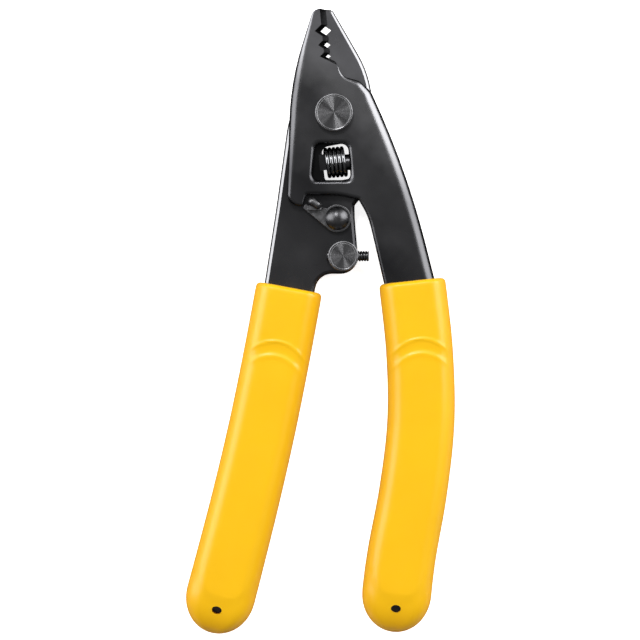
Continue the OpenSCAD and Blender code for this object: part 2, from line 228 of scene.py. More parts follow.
def blackenedSteel():
    look = leverFinish
    material, tree, surface, place = newMaterial("blackenedSteel", {"Metallic": 1})
    axes = addNode(tree, "ShaderNodeSeparateXYZ", None, {"Vector": place}).outputs
    reach = addNode(tree, "ShaderNodeMapRange", {
        "From Min": look["gripY"] * mm, "From Max": look["tipY"] * mm}, {"Value": axes["Y"]})
    across = addNode(tree, "ShaderNodeMath", {
        "operation": "MULTIPLY_ADD", 1: look["acrossShare"] / mm}, {0: axes["X"], 2: reach.outputs[0]})
    cloud = addNode(tree, "ShaderNodeTexNoise", {
        "Scale": 1 / (look["cloudMm"] * mm), "Detail": 3}, {"Vector": place}).outputs["Fac"]
    grain = addNode(tree, "ShaderNodeTexNoise", {
        "Scale": 1 / (look["grainMm"] * mm), "Detail": 2}, {"Vector": place}).outputs["Fac"]
    drift = addNode(tree, "ShaderNodeMapRange", {
        "To Min": -look["drift"], "To Max": look["drift"]}, {"Value": cloud})
    shade = addNode(tree, "ShaderNodeMath", {"operation": "ADD"},
                    {0: across.outputs[0], 1: drift.outputs[0]})
    # painted light and shade: the colour is lighter towards the jaws and darker towards the grips
    colour = addNode(tree, "ShaderNodeValToRGB", {"stops": look["paintedShades"]}, {"Fac": shade.outputs[0]})
    # painted shade: darker where the window uncovers the rear plate, in the recess under the front plate
    spread = addNode(tree, "ShaderNodeVectorMath", {
        "operation": "DISTANCE", 1: tuple(c * mm for c in look["recessAt"])}, {0: place})
    near = addNode(tree, "ShaderNodeMapRange", {
        "From Min": look["recessR"][0] * mm, "From Max": look["recessR"][1] * mm, "To Min": 1, "To Max": 0},
        {"Value": spread.outputs["Value"]})
    below = addNode(tree, "ShaderNodeMapRange", {
        "From Min": look["recessZ"][0] * mm, "From Max": look["recessZ"][1] * mm, "To Min": 1, "To Max": 0},
        {"Value": axes["Z"]})
    paintedRecessShade = addNode(tree, "ShaderNodeMath", {"operation": "MULTIPLY"},
                     {0: near.outputs[0], 1: below.outputs[0]})
    mixed = addNode(tree, "ShaderNodeMix", {"data_type": "RGBA", 7: colourOf(look["paintedRecessShade"])},
                    {0: paintedRecessShade.outputs[0], 6: colour.outputs["Color"]})
    tree.links.new(mixed.outputs[2], surface["Base Color"])
    smooth, dull = look["roughness"]
    gloss = addNode(tree, "ShaderNodeMapRange", {
        "From Min": lowNoise, "From Max": highNoise, "To Min": smooth, "To Max": dull},
        {"Value": cloud})
    tree.links.new(gloss.outputs[0], surface["Roughness"])
    bump = addNode(tree, "ShaderNodeBump", {"Strength": 0.04, "Distance": 0.02 * mm}, {"Height": grain})
    tree.links.new(bump.outputs[0], surface["Normal"])
    return material


# Steel turned on a lathe and blacked: rings from the tool scatter light to both sides, so
# the face shows bright and dark fans round its middle; fans are also painted into its colour
turnedFinish = {
    "light": "#8c8c8e", "dark": "#68686a", "roughness": 0.22, "stretch": 0.93, "stretchTurn": 0.25,
    "paintedFansPerTurn": 14,
    "grooveMm": 0.5,  # the rings are drawn wider apart than the real ones, so that they show
}


def turnedSteel(name, centre):
    look = turnedFinish
    material, tree, surface, coords = newMaterial(name, {
        "Metallic": 1, "Roughness": look["roughness"], "Anisotropic": look["stretch"],
        "Anisotropic Rotation": look["stretchTurn"]})
    place = addNode(tree, "ShaderNodeMapping", {
        "vector_type": "TEXTURE", "Location": (*(c * mm for c in centre), 0)},
        {"Vector": coords}).outputs[0]
    turn = addNode(tree, "ShaderNodeTexGradient", {
        "gradient_type": "RADIAL"}, {"Vector": place}).outputs["Fac"]
    # painted reflection: bright and dark fans painted into the colour round the middle
    paintedFans = addNode(tree, "ShaderNodeTexNoise", {
        "noise_dimensions": "1D", "Scale": look["paintedFansPerTurn"], "Detail": 2}, {"W": turn}).outputs["Fac"]
    colour = addNode(tree, "ShaderNodeValToRGB", {
        "stops": [(lowNoise, look["dark"]), (highNoise, look["light"])]}, {"Fac": paintedFans})
    tree.links.new(colour.outputs["Color"], surface["Base Color"])
    # the wave node turns by 20 radians for each unit of its scaled place
    rings = addNode(tree, "ShaderNodeTexWave", {
        "wave_type": "RINGS", "rings_direction": "Z", "wave_profile": "SIN",
        "Scale": 2 * math.pi / 20 / (look["grooveMm"] * mm)}, {"Vector": place}).outputs["Fac"]
    bump = addNode(tree, "ShaderNodeBump", {"Strength": 0.05, "Distance": 0.02 * mm}, {"Height": rings})
    tree.links.new(bump.outputs[0], surface["Normal"])
    around = addNode(tree, "ShaderNodeTangent", {"direction_type": "RADIAL", "axis": "Z"})
    tree.links.new(around.outputs[0], surface["Tangent"])
    return material


steelFinishes = {  # light and dark of the grain, roughness, width of the grain in mm, its depth as a bump
    "paintedShadeCutSteel": ("#1c1c1d", "#131314", 0.5, 0.15, 0.1),  # cut walls, blacked and matt; nearly black as painted shade on the steep sides
    "groundEdgeAndHighlightSteel": ("#7e7e80", "#727274", 0.3, 0.6, 0.03),  # ground after blacking, and lighter as a painted highlight: a bright satin line
    "turnedRimSteel": ("#767678", "#6e6e70", 0.42, 0.9, 0.02),  # turned edge, blacked: a soft grey ring
    "blackedScrewSteel": ("#6a6a6b", "#48484a", 0.3, 0.4, 0.1),  # rolled and blacked: dark, bright crests
    "drawnSpringWire": ("#747577", "#68696b", 0.14, 0.6, 0.03),  # drawn and oiled: narrow, sharp highlights
    "stampedLatchSteel": ("#606062", "#585859", 0.4, 0.9, 0.03),  # stamped, thinly blacked: satin grey
    "polishedRivetSteel": ("#545456", "#4e4e50", 0.33, 0.9, 0.02),  # domed by a die: round highlights
    "plainWasherSteel": ("#5e5e60", "#545456", 0.36, 0.9, 0.03),  # punched sheet, left bare: plain grey
}


def plainSteel(name):
    light, dark, roughness, grainMm, depth = steelFinishes[name]
    material, tree, surface, place = newMaterial(name, {"Metallic": 1})
    grain = addNode(tree, "ShaderNodeTexNoise", {
        "Scale": 1 / (grainMm * mm), "Detail": 3}, {"Vector": place}).outputs["Fac"]
    colour = addNode(tree, "ShaderNodeValToRGB", {
        "stops": [(lowNoise, dark), (highNoise, light)]}, {"Fac": grain})
    tree.links.new(colour.outputs["Color"], surface["Base Color"])
    gloss = addNode(tree, "ShaderNodeMapRange", {
        "From Min": lowNoise, "From Max": highNoise, "To Min": roughness * 0.85, "To Max": roughness * 1.2},
        {"Value": grain})
    tree.links.new(gloss.outputs[0], surface["Roughness"])
    bump = addNode(tree, "ShaderNodeBump", {"Strength": depth, "Distance": 0.01 * mm}, {"Height": grain})
    tree.links.new(bump.outputs[0], surface["Normal"])
    return material


# Plasticised PVC, injection moulded in a polished tool: an even, softly glossy yellow with a
# very slight orange peel; deeper low on the sides, which is painted shade
gripFinish = {
    "yellow": "#deab07", "cloudy": "#dba706", "deep": "#c88c05", "paintedShadeZ": 7.2, "yellowZ": 11.2,
    "roughness": (0.33, 0.39), "peelMm": 1.6, "cloudMm": 16,
}


def mouldedVinyl():
    look = gripFinish
    material, tree, surface, place = newMaterial("mouldedVinyl", {
        "IOR": 1.52, "Specular IOR Level": 0.3, "Coat Weight": 0.1, "Coat Roughness": 0.16})
    peel = addNode(tree, "ShaderNodeTexNoise", {
        "Scale": 1 / (look["peelMm"] * mm), "Detail": 1}, {"Vector": place}).outputs["Fac"]
    cloud = addNode(tree, "ShaderNodeTexNoise", {
        "Scale": 1 / (look["cloudMm"] * mm), "Detail": 2}, {"Vector": place}).outputs["Fac"]
    front = addNode(tree, "ShaderNodeValToRGB", {
        "stops": [(lowNoise, look["cloudy"]), (highNoise, look["yellow"])]}, {"Fac": cloud})
    # painted shade: the yellow turns deeper and more orange low on the sides
    height = addNode(tree, "ShaderNodeSeparateXYZ", None, {"Vector": place}).outputs["Z"]
    low = addNode(tree, "ShaderNodeMapRange", {
        "From Min": look["paintedShadeZ"] * mm, "From Max": look["yellowZ"] * mm, "To Min": 1, "To Max": 0},
        {"Value": height})
    mixed = addNode(tree, "ShaderNodeMix", {"data_type": "RGBA", 7: colourOf(look["deep"])},
                    {0: low.outputs[0], 6: front.outputs["Color"]})
    tree.links.new(mixed.outputs[2], surface["Base Color"])
    smooth, dull = look["roughness"]
    gloss = addNode(tree, "ShaderNodeMapRange", {
        "From Min": lowNoise, "From Max": highNoise, "To Min": smooth, "To Max": dull}, {"Value": peel})
    tree.links.new(gloss.outputs[0], surface["Roughness"])
    bump = addNode(tree, "ShaderNodeBump", {"Strength": 0.06, "Distance": 0.05 * mm}, {"Height": peel})
    tree.links.new(bump.outputs[0], surface["Normal"])
    return material


def finish(piece, materials, body, node):  # the materials come after those it has
    for material in materials:
        piece.data.materials.append(material)
    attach(piece, body)
    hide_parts(node)


leverShape = {
    "leftRound": 2.5, "rightRound": 3.2, "jawRound": 1.4, "innerRound": 1.1,
    "rearRound": 1.0, "backRound": 0.3,
    "rightWay": 25,  # the round along the front is widest towards this azimuth
    "jawsFrom": 25, "jawsOver": 17,  # the round of the jaws widens over this length below jawsFrom
    "crotchY": -20, "tangX": -5,  # the inner edges lie below crotchY, and right of tangX
    "grow": 0.22,  # most that a width may change in a mm along the rim
    "crowd": 0.8,  # most of a short side that its rounds may use up
    "windowHalf": 4.9,  # half of the window's width, which its flare grows from
    "windowRound": 1.2, "windowDeep": 1.0, "windowCorner": 1.7,
    "windowCorners": [(-5.9, -18.1), (4.6, -18.1), (-5.1, -8.3), (3.8, -8.3)],
    "pegR": 2.15, "pegOut": 1.8, "pegRoot": 1, "springY": -13.2, "springZ": 6, "springTilt": 5,
}
roundProfile = [(1 - math.cos(math.radians(a)), math.sin(math.radians(a))) for a in range(12, 91, 13)]
chamferProfile = [(0.38, 0.6), (1, 1)]  # a steep face and a flatter one
leverPlan = {
    "front": {
        "z": (6.05, 9.05),  # back and front of the plate
        "profile": roundProfile, "tall": 0.72,  # height of the rounds as a share of their width
        "windowArea": (-6.3, 5, -18.4, -8),  # left, right, low and high of the plain window's walls
        "windowTurn": 0, "flareAbove": 0,  # the flare ends this far above the plate
        "bores": [((0, 0), 2.55)],
        "pegWallX": 4.15, "pegWay": 1, "smooth": 38,  # edges are smooth up to this angle
    },
    "rear": {
        "z": (2.95, 5.95),
        "profile": chamferProfile, "tall": 0.8,
        "windowArea": (-4, 8.3, -19.2, -7.2), "windowTurn": 11, "flareAbove": 1,
        "bores": [((0, 0), 2.55), ((0.9, -28.4), 1.55), ((2.5, -38.6), 2.25)],
        "pegWallX": -2.95, "pegWay": -1, "smooth": 18,
    },
}
steelBlack = blackenedSteel()
steelCut = plainSteel("paintedShadeCutSteel")


def turnedBy(point, angle):
    c, s = math.cos(math.radians(angle)), math.sin(math.radians(angle))
    return point[0] * c - point[1] * s, point[0] * s + point[1] * c


def inHollow(c, plan):  # whether a wall at c belongs to the window or to a bore
    left, right, low, high = plan["windowArea"]
    inWindow = left < c.x < right and low < c.y < high
    return inWindow or any(math.hypot(c.x - x, c.y - y) < r for (x, y), r in plan["bores"])


def barePlate(side, plan):  # a lever's plate without its window, bores and peg
    piece = copyOfPart(side + "_lever", side + "Lever")
    for material in (steelBlack, steelCut):  # slot 0 is the ground steel, and slot 1 the cut walls, painted nearly black as shade
        piece.data.materials.append(material)
    startEdit(piece)
    pick(piece, "FACE", lambda f: abs(f.normal.z) > level or inHollow(f.calc_center_median() / mm, plan))
    bpy.ops.mesh.delete(type="FACE")
    for z in plan["z"]:
        pick(piece, "EDGE", lambda e: e.is_boundary and all(abs(v.co.z / mm - z) < 0.01 for v in e.verts))
        bpy.ops.mesh.edge_face_add()
    for face in bmesh.from_edit_mesh(piece.data).faces:
        face.material_index = 0 if len(face.verts) > manyCorners else 1
    facedOut()
    endEdit()
    return piece


def roundPlan(face, rule):  # for each corner of a flat face: the way in, and the width of the round in mm
    points = [vertex.co / mm for vertex in face.verts]
    count = len(points)
    steps = [points[(i + 1) % count] - points[i] for i in range(count)]
    inward = [face.normal.cross(step).normalized() for step in steps]
    bends = [math.atan2(steps[i - 1].cross(steps[i]).dot(face.normal), steps[i - 1].dot(steps[i]))
             for i in range(count)]
    spans = []
    for i, loop in enumerate(face.loops):
        wall = next(other for other in loop.edge.link_faces if other is not face)
        upright = abs(wall.normal.z) < 0.1  # the slanted edges of the jaws stay sharp
        wanted = rule(-inward[i], points[i] + steps[i] / 2) if upright else 0
        crowding = math.tan(bends[i] / 2) + math.tan(bends[(i + 1) % count] / 2)
        spans.append(min(wanted, leverShape["crowd"] * steps[i].length / max(crowding, 0.001)))
    widths = [min(spans[i - 1], spans[i]) for i in range(count)]
    for i in [*range(count), *range(count)]:
        widths[i] = min(widths[i], widths[i - 1] + leverShape["grow"] * steps[i - 1].length)
    for i in [*reversed(range(count)), *reversed(range(count))]:
        widths[i] = min(widths[i], widths[(i + 1) % count] + leverShape["grow"] * steps[i].length)
    # the way in at a corner, kept short where the corner is sharp
    mitres = [(inward[i - 1] + inward[i]) / max(1 + inward[i - 1].dot(inward[i]), 0.5)
              for i in range(count)]
    return list(zip(mitres, widths))


def rounded(piece, side, rule, profile, tall):  # rounds the rim of a plate's flat side, ring by ring
    startEdit(piece)
    shape = bmesh.from_edit_mesh(piece.data)
    shape.verts.layers.float_vector.new("way")
    shape.verts.layers.float.new("deep")
    pick(piece, "FACE", lambda f: f.normal.z * side > level and len(f.verts) > manyCorners)
    shape = bmesh.from_edit_mesh(piece.data)
    way, deep = shape.verts.layers.float_vector["way"], shape.verts.layers.float["deep"]
    face = next(f for f in shape.faces if f.select)
    for vertex, (mitre, width) in zip(face.verts, roundPlan(face, rule)):
        vertex[way] = mitre * width * mm
        vertex[deep] = width * tall * side * mm
        vertex.co.z -= vertex[deep]
    before = (0, 0)
    for reach, rise in profile:
        bmesh.update_edit_mesh(piece.data)
        drawnOut(0, 0, 0)
        shape = bmesh.from_edit_mesh(piece.data)
        way, deep = shape.verts.layers.float_vector["way"], shape.verts.layers.float["deep"]
        for vertex in shape.verts:
            if vertex.select:
                vertex.co += vertex[way] * (reach - before[0])
                vertex.co.z += vertex[deep] * (rise - before[1])
        for ring in shape.faces:
            if not ring.select and any(v.select for v in ring.verts):
                ring.material_index = 0
        before = (reach, rise)
    shape.verts.layers.float_vector.remove(way)
    shape.verts.layers.float.remove(shape.verts.layers.float["deep"])
    bmesh.update_edit_mesh(piece.data)
    bpy.ops.mesh.select_all(action="SELECT")
    bpy.ops.mesh.remove_doubles(threshold=tiny)
    endEdit()


def frontRule(out, middle):  # width of the front lever's round, by the way an edge faces and its place
    s = leverShape
    azimuth = math.atan2(out.y, out.x)
    towards = max(math.cos(azimuth - math.radians(s["rightWay"])), 0)
    width = s["leftRound"] + (s["rightRound"] - s["leftRound"]) * towards
    width = s["jawRound"] + (width - s["jawRound"]) * smoothStep((s["jawsFrom"] - middle.y) / s["jawsOver"])
    facingIn = out.y < -0.2 or (out.x < 0 and middle.x > s["tangX"])
    return s["innerRound"] if middle.y < s["crotchY"] and facingIn else width


def rearRule(out, middle):
    return leverShape["rearRound"]


def backRule(out, middle):
    return leverShape["backRound"]


def windowCutter(plan):  # straight up to the rim, then flared, so that it leaves a rounded edge
    corners = [turnedBy(corner, plan["windowTurn"]) for corner in leverShape["windowCorners"]]
    low, rim = plan["z"][0] - 1, plan["z"][1] + plan["flareAbove"]
    bpy.ops.mesh.primitive_plane_add(size=1, location=(0, 0, 0))
    cutter = started("cutter")
    for vertex, corner in zip(cutter.data.vertices, corners):
        vertex.co = (corner[0] * mm, corner[1] * mm, low * mm)
    middle = [sum(corner[i] for corner in corners) / 4 for i in (0, 1)]
    startEdit(cutter)
    bpy.ops.mesh.select_mode(type="VERT")
    bpy.ops.mesh.select_all(action="SELECT")
    bpy.ops.mesh.bevel(offset=leverShape["windowCorner"] * mm, segments=6, affect="VERTICES")
    bpy.ops.mesh.select_mode(type="FACE")
    bpy.ops.mesh.select_all(action="SELECT")
    wide, deep, half = leverShape["windowRound"], leverShape["windowDeep"], leverShape["windowHalf"]
    z, size = low, half
    for angle in range(0, 91, 18):
        newZ = rim - deep + deep * math.sin(math.radians(angle))
        newSize = half + wide * (1 - math.cos(math.radians(angle)))
        drawnOut(0, 0, newZ - z)
        scaledAbout((newSize / size, newSize / size, 1), (*middle, newZ))
        z, size = newZ, newSize
    drawnOut(0, 0, 1)
    facedOut()
    endEdit()
    return cutter


def bored(piece, at, radius):
    bpy.ops.mesh.primitive_cylinder_add(vertices=64, radius=radius * mm, depth=through * mm,
                                        location=(at[0] * mm, at[1] * mm, 0))
    cutter = started("cutter")
    placed(cutter)
    combined(piece, cutter, "DIFFERENCE")


def pegged(piece, plan):  # adds the half-round peg that holds one end of the coil
    s = leverShape
    x = plan["pegWallX"] - plan["pegWay"] * (s["pegOut"] - s["pegRoot"]) / 2
    bpy.ops.mesh.primitive_cylinder_add(
        vertices=48, radius=s["pegR"] * mm, depth=(s["pegOut"] + s["pegRoot"]) * mm,
        location=(x * mm, s["springY"] * mm, s["springZ"] * mm),
        rotation=(0, math.pi / 2, math.radians(s["springTilt"])))
    peg = started("peg")
    placed(peg)
    startEdit(peg)
    for z, way in zip(plan["z"], (-1, 1)):
        cutOff((0, 0, z * mm), (0, 0, way))
    endEdit()
    combined(piece, peg, "UNION")


def makeLever(side, rule):
    plan = leverPlan[side]
    piece = barePlate(side, plan)
    rounded(piece, 1, rule, plan["profile"], plan["tall"])
    rounded(piece, -1, backRule, chamferProfile, 1)
    combined(piece, windowCutter(plan), "DIFFERENCE")
    for at, radius in plan["bores"]:
        bored(piece, at, radius)
    pegged(piece, plan)
    for polygon in piece.data.polygons:  # cut walls are painted nearly black: painted shade on the steep sides
        if abs(polygon.normal.z) < 0.3:
            polygon.material_index = 1
    return piece


frontLever = makeLever("front", frontRule)
shaded(frontLever, leverPlan["front"]["smooth"])
finish(frontLever, [], "front", "front_lever")
rearLever = makeLever("rear", rearRule)
for polygon in rearLever.data.polygons:  # chamfers of the jaw and of the left edges, ground bright and painted lighter as a highlight
    if 0.3 < polygon.normal.z < 0.97 and (polygon.normal.x < -0.3 or polygon.center.y > 3 * mm):
        polygon.material_index = 2
shaded(rearLever, leverPlan["rear"]["smooth"])
finish(rearLever, [plainSteel("groundEdgeAndHighlightSteel")], "rear", "rear_lever")
say("levers made")


def addShank(piece, s):  # draws a shank and a riveted tail out of the underside of a head, in edit mode
    pick(piece, "FACE", lambda f: f.normal.z < -level and len(f.verts) > manyCorners)
    bpy.ops.mesh.inset(thickness=(s["radius"] - s["shankR"]) * mm, depth=0)
    drawnOut(0, 0, s["tailTop"] - s["z"])
    drawnOut(0, 0, 0)
    spread = s["tailR"] / s["shankR"]
    scaledAbout((spread, spread, 1), (*s["at"], s["tailTop"]))
    drawnOut(0, 0, s["tailEnd"] - s["tailTop"])
    pick(piece, "EDGE", lambda e: all(abs(v.co.z - s["tailEnd"] * mm) < tiny for v in e.verts))
    bpy.ops.mesh.bevel(offset=s["tailRim"] * mm, segments=s["tailSteps"], profile=0.5)


def makeTurned(name, s):  # a turned head with a rounded rim and a fine ring, on its shank
    x, y = s["at"]
    bpy.ops.mesh.primitive_cylinder_add(
        vertices=s["sides"], radius=s["radius"] * mm, depth=s["height"] * mm,
        location=(x * mm, y * mm, (s["z"] + s["height"] / 2) * mm))
    piece = started(name)
    placed(piece)
    startEdit(piece)
    top = (s["z"] + s["height"]) * mm
    pick(piece, "EDGE", lambda e: all(abs(v.co.z - top) < tiny for v in e.verts))
    bpy.ops.mesh.bevel(offset=s["rim"] * mm, segments=4, profile=0.5)
    pick(piece, "FACE", lambda f: f.normal.z > level and len(f.verts) > manyCorners)
    bpy.ops.mesh.inset(thickness=s["ringIn"] * mm, depth=0)
    for depth in (-s["ringDeep"], s["ringDeep"]):
        bpy.ops.mesh.inset(thickness=s["ringSide"] * mm, depth=depth * mm)
    addShank(piece, s)
    endEdit()
    shaded(piece, 35)
    for polygon in piece.data.polygons:  # only the flat face has the fine rings of the lathe
        onFace = polygon.normal.z > 0.99 and polygon.center.z > top - 0.01 * mm
        polygon.material_index = 0 if onFace else 1
    return piece


rimSteel = plainSteel("turnedRimSteel")

pivotShape = {
    "at": (0, 0), "radius": 5.1, "z": 9.1, "height": 1.9, "rim": 0.3, "sides": 96,
    "ringIn": 0.25, "ringSide": 0.08, "ringDeep": 0.04,
    "shankR": 2.5, "tailR": 4.2, "tailTop": 1.9, "tailEnd": 0, "tailRim": 0.4, "tailSteps": 4,
}
pivot = makeTurned("pivotRivet", pivotShape)
pivotFace = turnedSteel("turnedPivotSteel", pivotShape["at"])
finish(pivot, [pivotFace, rimSteel], "pivot", "pivot_rivet")
say("pivot made")

barrelShape = {
    "at": (2.5, -38.6), "radius": 4.1, "z": 5.95, "height": 5, "rim": 0.3, "sides": 80,
    "ringIn": 0.3, "ringSide": 0.08, "ringDeep": 0.03,
    "shankR": 2.2, "tailR": 3, "tailTop": 2.95, "tailEnd": 2.35, "tailRim": 0.3, "tailSteps": 3,
}
barrel = makeTurned("stopBarrel", barrelShape)
barrelFace = turnedSteel("turnedBarrelSteel", barrelShape["at"])
finish(barrel, [barrelFace, rimSteel], "rear", "stop_barrel")

screwShape = {
    "startX": -1.9, "length": 11.3, "y": -38.6, "z": 7.55, "crestR": 1.4, "rootR": 1.12,
    "pitch": 0.7, "crestFlat": 0.3, "rootFlat": 0.08, "turnSteps": 28,
    "spare": 1.5,  # turns that are cut away at each end, where the thread begins and ends
    "nudge": 0.011,  # keeps the end cuts off the thread's own corners
}


def makeScrew(s):
    pitch, crest, root = s["pitch"], s["crestR"], s["rootR"]
    # one pitch of the thread's profile, drawn by extruding a point
    bpy.ops.mesh.primitive_plane_add(size=0.001 * mm, location=(0, 0, 0))
    piece = started("stopScrew")
    startEdit(piece)
    bpy.ops.mesh.select_mode(type="VERT")
    bpy.ops.mesh.select_all(action="SELECT")
    bpy.ops.mesh.merge(type="CENTER")
    bpy.ops.mesh.select_all(action="SELECT")
    bpy.ops.transform.translate(value=(root * mm, 0, 0))
    flank = (pitch - s["crestFlat"] - s["rootFlat"]) / 2
    rise = crest - root
    for across, along in ((rise, flank), (0, s["crestFlat"]), (-rise, flank), (0, s["rootFlat"])):
        bpy.ops.mesh.extrude_vertices_move(TRANSFORM_OT_translate={"value": (across * mm, 0, along * mm)})
    endEdit()
    applied(piece, "SCREW", {
        "angle": 2 * math.pi, "screw_offset": pitch * mm,
        "iterations": math.ceil(s["length"] / pitch + 2 * s["spare"]),
        "steps": s["turnSteps"], "render_steps": s["turnSteps"],
        "use_merge_vertices": True, "merge_threshold": tiny})
    startEdit(piece)
    bpy.ops.mesh.select_all(action="SELECT")
    bpy.ops.mesh.remove_doubles(threshold=weld)
    bpy.ops.mesh.normals_make_consistent(inside=False)
    low = s["spare"] * pitch + s["nudge"]
    for z, way in ((low, -1), (low + s["length"], 1)):
        cutOff((0, 0, z * mm), (0, 0, way), tiny / 10)
    facedOut()
    bpy.ops.transform.translate(value=(0, 0, -low * mm))
    endEdit()
    piece.location = (s["startX"] * mm, s["y"] * mm, s["z"] * mm)
    piece.rotation_euler = (0, math.pi / 2, 0)
    placed(piece)
    return piece


screw = makeScrew(screwShape)
shaded(screw, 30)
finish(screw, [plainSteel("blackedScrewSteel")], "screw", "stop_screw")
say("stop made")

springShape = {
    "coilR": 3.66, "wireR": 0.52, "turns": 5, "sides": 12, "turnSteps": 40,
    "middle": (0.455, -13.2, 6), "tilt": 5, "leftX": -2.97, "rightX": 3.9, "length": 6.52,
}


def makeSpring(s):
    length = s["length"] - 2 * s["wireR"]
    bpy.ops.mesh.primitive_circle_add(
        vertices=s["sides"], radius=s["wireR"] * mm, fill_type="NOTHING",
        location=(s["coilR"] * mm, 0, -length / 2 * mm), rotation=(math.pi / 2, 0, 0))
    piece = started("openingSpring")
    placed(piece)
    applied(piece, "SCREW", {
        "angle": 2 * math.pi, "screw_offset": length / s["turns"] * mm, "iterations": s["turns"],
        "steps": s["turnSteps"], "render_steps": s["turnSteps"]})
    startEdit(piece)
    bpy.ops.mesh.select_mode(type="EDGE")
    bpy.ops.mesh.select_all(action="DESELECT")
    bpy.ops.mesh.select_non_manifold()
    bpy.ops.mesh.fill()
    facedOut()
    endEdit()
    piece.rotation_euler = (0, math.pi / 2, math.radians(s["tilt"]))
    piece.location = tuple(c * mm for c in s["middle"])
    placed(piece)
    return piece


spring = makeSpring(springShape)
shaded(spring, 50)
spring.data.materials.append(plainSteel("drawnSpringWire"))
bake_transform(spring, "rear", "pivot", (springShape["leftX"] * mm, -13.2 * mm, 6 * mm),
         (springShape["rightX"] * mm, -13.2 * mm, 6 * mm))
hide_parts("opening_spring")
say("spring made")

latchShape = {
    "at": (0.9, -28.4), "boreArea": 2.5,  # edges nearer than this to the rivet stay sharp
    "edge": 0.22, "armZ": 7.5, "neckZ": 9,
    "tabAt": (-5.2, -24.35), "tabSize": (4.2, 2.3), "tabTop": 10.4, "tabSunk": 0.3,
    "tabTurn": -35, "tabEdge": 0.75, "tabTaper": 0.72,
}


def softened(piece, widthOf, steps):  # rounds each edge by the width in mm that the rule gives
    shape = bmesh.new()
    shape.from_mesh(piece.data)
    layer = shape.edges.layers.float.new("bevel_weight_edge")
    widest = 2.0  # the width that a weight of 1 stands for
    bent = math.radians(25)  # flatter edges stay as they are
    for edge in shape.edges:
        if len(edge.link_faces) == 2 and edge.calc_face_angle(0) > bent:
            edge[layer] = min(widthOf(edge) / widest, 1)
    shape.to_mesh(piece.data)
    shape.free()
    applied(piece, "BEVEL", {
        "limit_method": "WEIGHT", "width": widest * mm, "segments": steps, "use_clamp_overlap": False,
        "loop_slide": False, "offset_type": "OFFSET"})


def latchWidth(edge):  # only the arm's top edges are softened, outside its bore
    side = min(edge.link_faces, key=lambda f: abs(f.normal.z))
    middle = (edge.verts[0].co + edge.verts[1].co) / 2 / mm
    x, y = latchShape["at"]
    inBore = math.hypot(middle.x - x, middle.y - y) < latchShape["boreArea"]
    flat = abs(edge.verts[0].co.z - edge.verts[1].co.z) < tiny
    onArm = abs(middle.z - latchShape["armZ"]) < 0.01
    return latchShape["edge"] if flat and onArm and not inBore and abs(side.normal.z) < 0.1 else 0


def thumbTab(t):  # a rounded lug, narrower at its top
    low, high = t["neckZ"] - t["tabSunk"], t["tabTop"]
    bpy.ops.mesh.primitive_cube_add(size=1, location=(0, 0, (low + high) / 2 * mm))
    tab = started("thumbTab")
    tab.scale = (t["tabSize"][0] * mm, t["tabSize"][1] * mm, (high - low) * mm)
    placed(tab)
    startEdit(tab)
    pick(tab, "FACE", lambda f: f.normal.z > 0.9)
    scaledAbout((t["tabTaper"], t["tabTaper"], 1), (0, 0, high))
    pick(tab, "EDGE", lambda e: max(v.co.z for v in e.verts) > (high - 0.01) * mm)
    bpy.ops.mesh.bevel(offset=t["tabEdge"] * mm, segments=6, profile=0.5)
    endEdit()
    tab.rotation_euler = (0, 0, math.radians(t["tabTurn"]))
    tab.location = (t["tabAt"][0] * mm, t["tabAt"][1] * mm, 0)
    placed(tab)
    return tab


latch = copyOfPart("lock_latch", "lockLatch")
startEdit(latch)  # the plain tab goes, and its neck stays
cutOff((0, 0, latchShape["neckZ"] * mm), (0, 0, 1))
endEdit()
combined(latch, thumbTab(latchShape), "UNION")
softened(latch, latchWidth, 3)
shaded(latch, 40)
finish(latch, [plainSteel("stampedLatchSteel")], "latch", "lock_latch")

domeShape = {
    "at": (0.9, -28.4), "radius": 3.2, "z": 7.95, "height": 1.55,
    "shankR": 1.5, "tailR": 2.3, "tailTop": 2.95, "tailEnd": 2.35, "tailRim": 0.3, "tailSteps": 3,
}


def makeDome(s):
    x, y = s["at"]
    sphereR = (s["radius"] ** 2 + s["height"] ** 2) / (2 * s["height"])
    bpy.ops.mesh.primitive_uv_sphere_add(
        segments=64, ring_count=48, radius=sphereR * mm,
        location=(x * mm, y * mm, (s["z"] + s["height"] - sphereR) * mm))
    piece = started("latchRivet")
    placed(piece)
    startEdit(piece)
    cutOff((x * mm, y * mm, s["z"] * mm), (0, 0, -1))
    addShank(piece, s)
    endEdit()
    return piece


dome = makeDome(domeShape)
shaded(dome, 35)
finish(dome, [plainSteel("polishedRivetSteel")], "rear", "latch_rivet")
washerSteel = plainSteel("plainWasherSteel")
for node in ("pivot_washer", "latch_washer"):
    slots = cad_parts[node].data.materials
    slots.clear()
    slots.append(washerSteel)
say("latch made")

gripShape = {
    "topW": 18, "endW": 18.9, "height": 11.4, "corner": 4.7, "cornerSteps": 10, "middleZ": 5.7,
    "flatCuts": (7, 3),  # points added along the flats: across, and up the sides
    "round": 10.5, "lip": 1.3, "cap": (0.2, 0.4),
    "firstRidge": 14.4, "secondRidge": 18.4, "bow": 2.6, "bowAt": 6.5,
    "slope": 1.2, "easeDown": 2.6, "dip": 0.45,
    "beads": {"first": (0.34, 0.55, 0.6), "second": (0.45, 0.8, 0.35)},  # front half, back half, height
    "bead": 0.6, "ridgeShift": {"left": 0.4, "right": 1.3},
    "padMargin": 2.6, "padSide": 2.6, "padRise": 0.35, "padEnd": 10, "padEndSide": 1.9, "endFlat": 0.8,
    "riseFrom": 1, "riseOver": 2,  # the front stands up from this height over the middle
    "holeW": 2.7, "holeH": 2.1, "holeFromEnd": 6.7,
}
gripLines = {
    "left": [(-12, -47), (-15.5, -65.8), (-19.3, -84.5), (-23.6, -103.1), (-28.3, -121.6), (-33.2, -140.2)],
    "right": [(21.1, -45.2), (23.1, -64), (23.5, -83), (21.4, -102), (18, -121), (15.9, -140)],
}
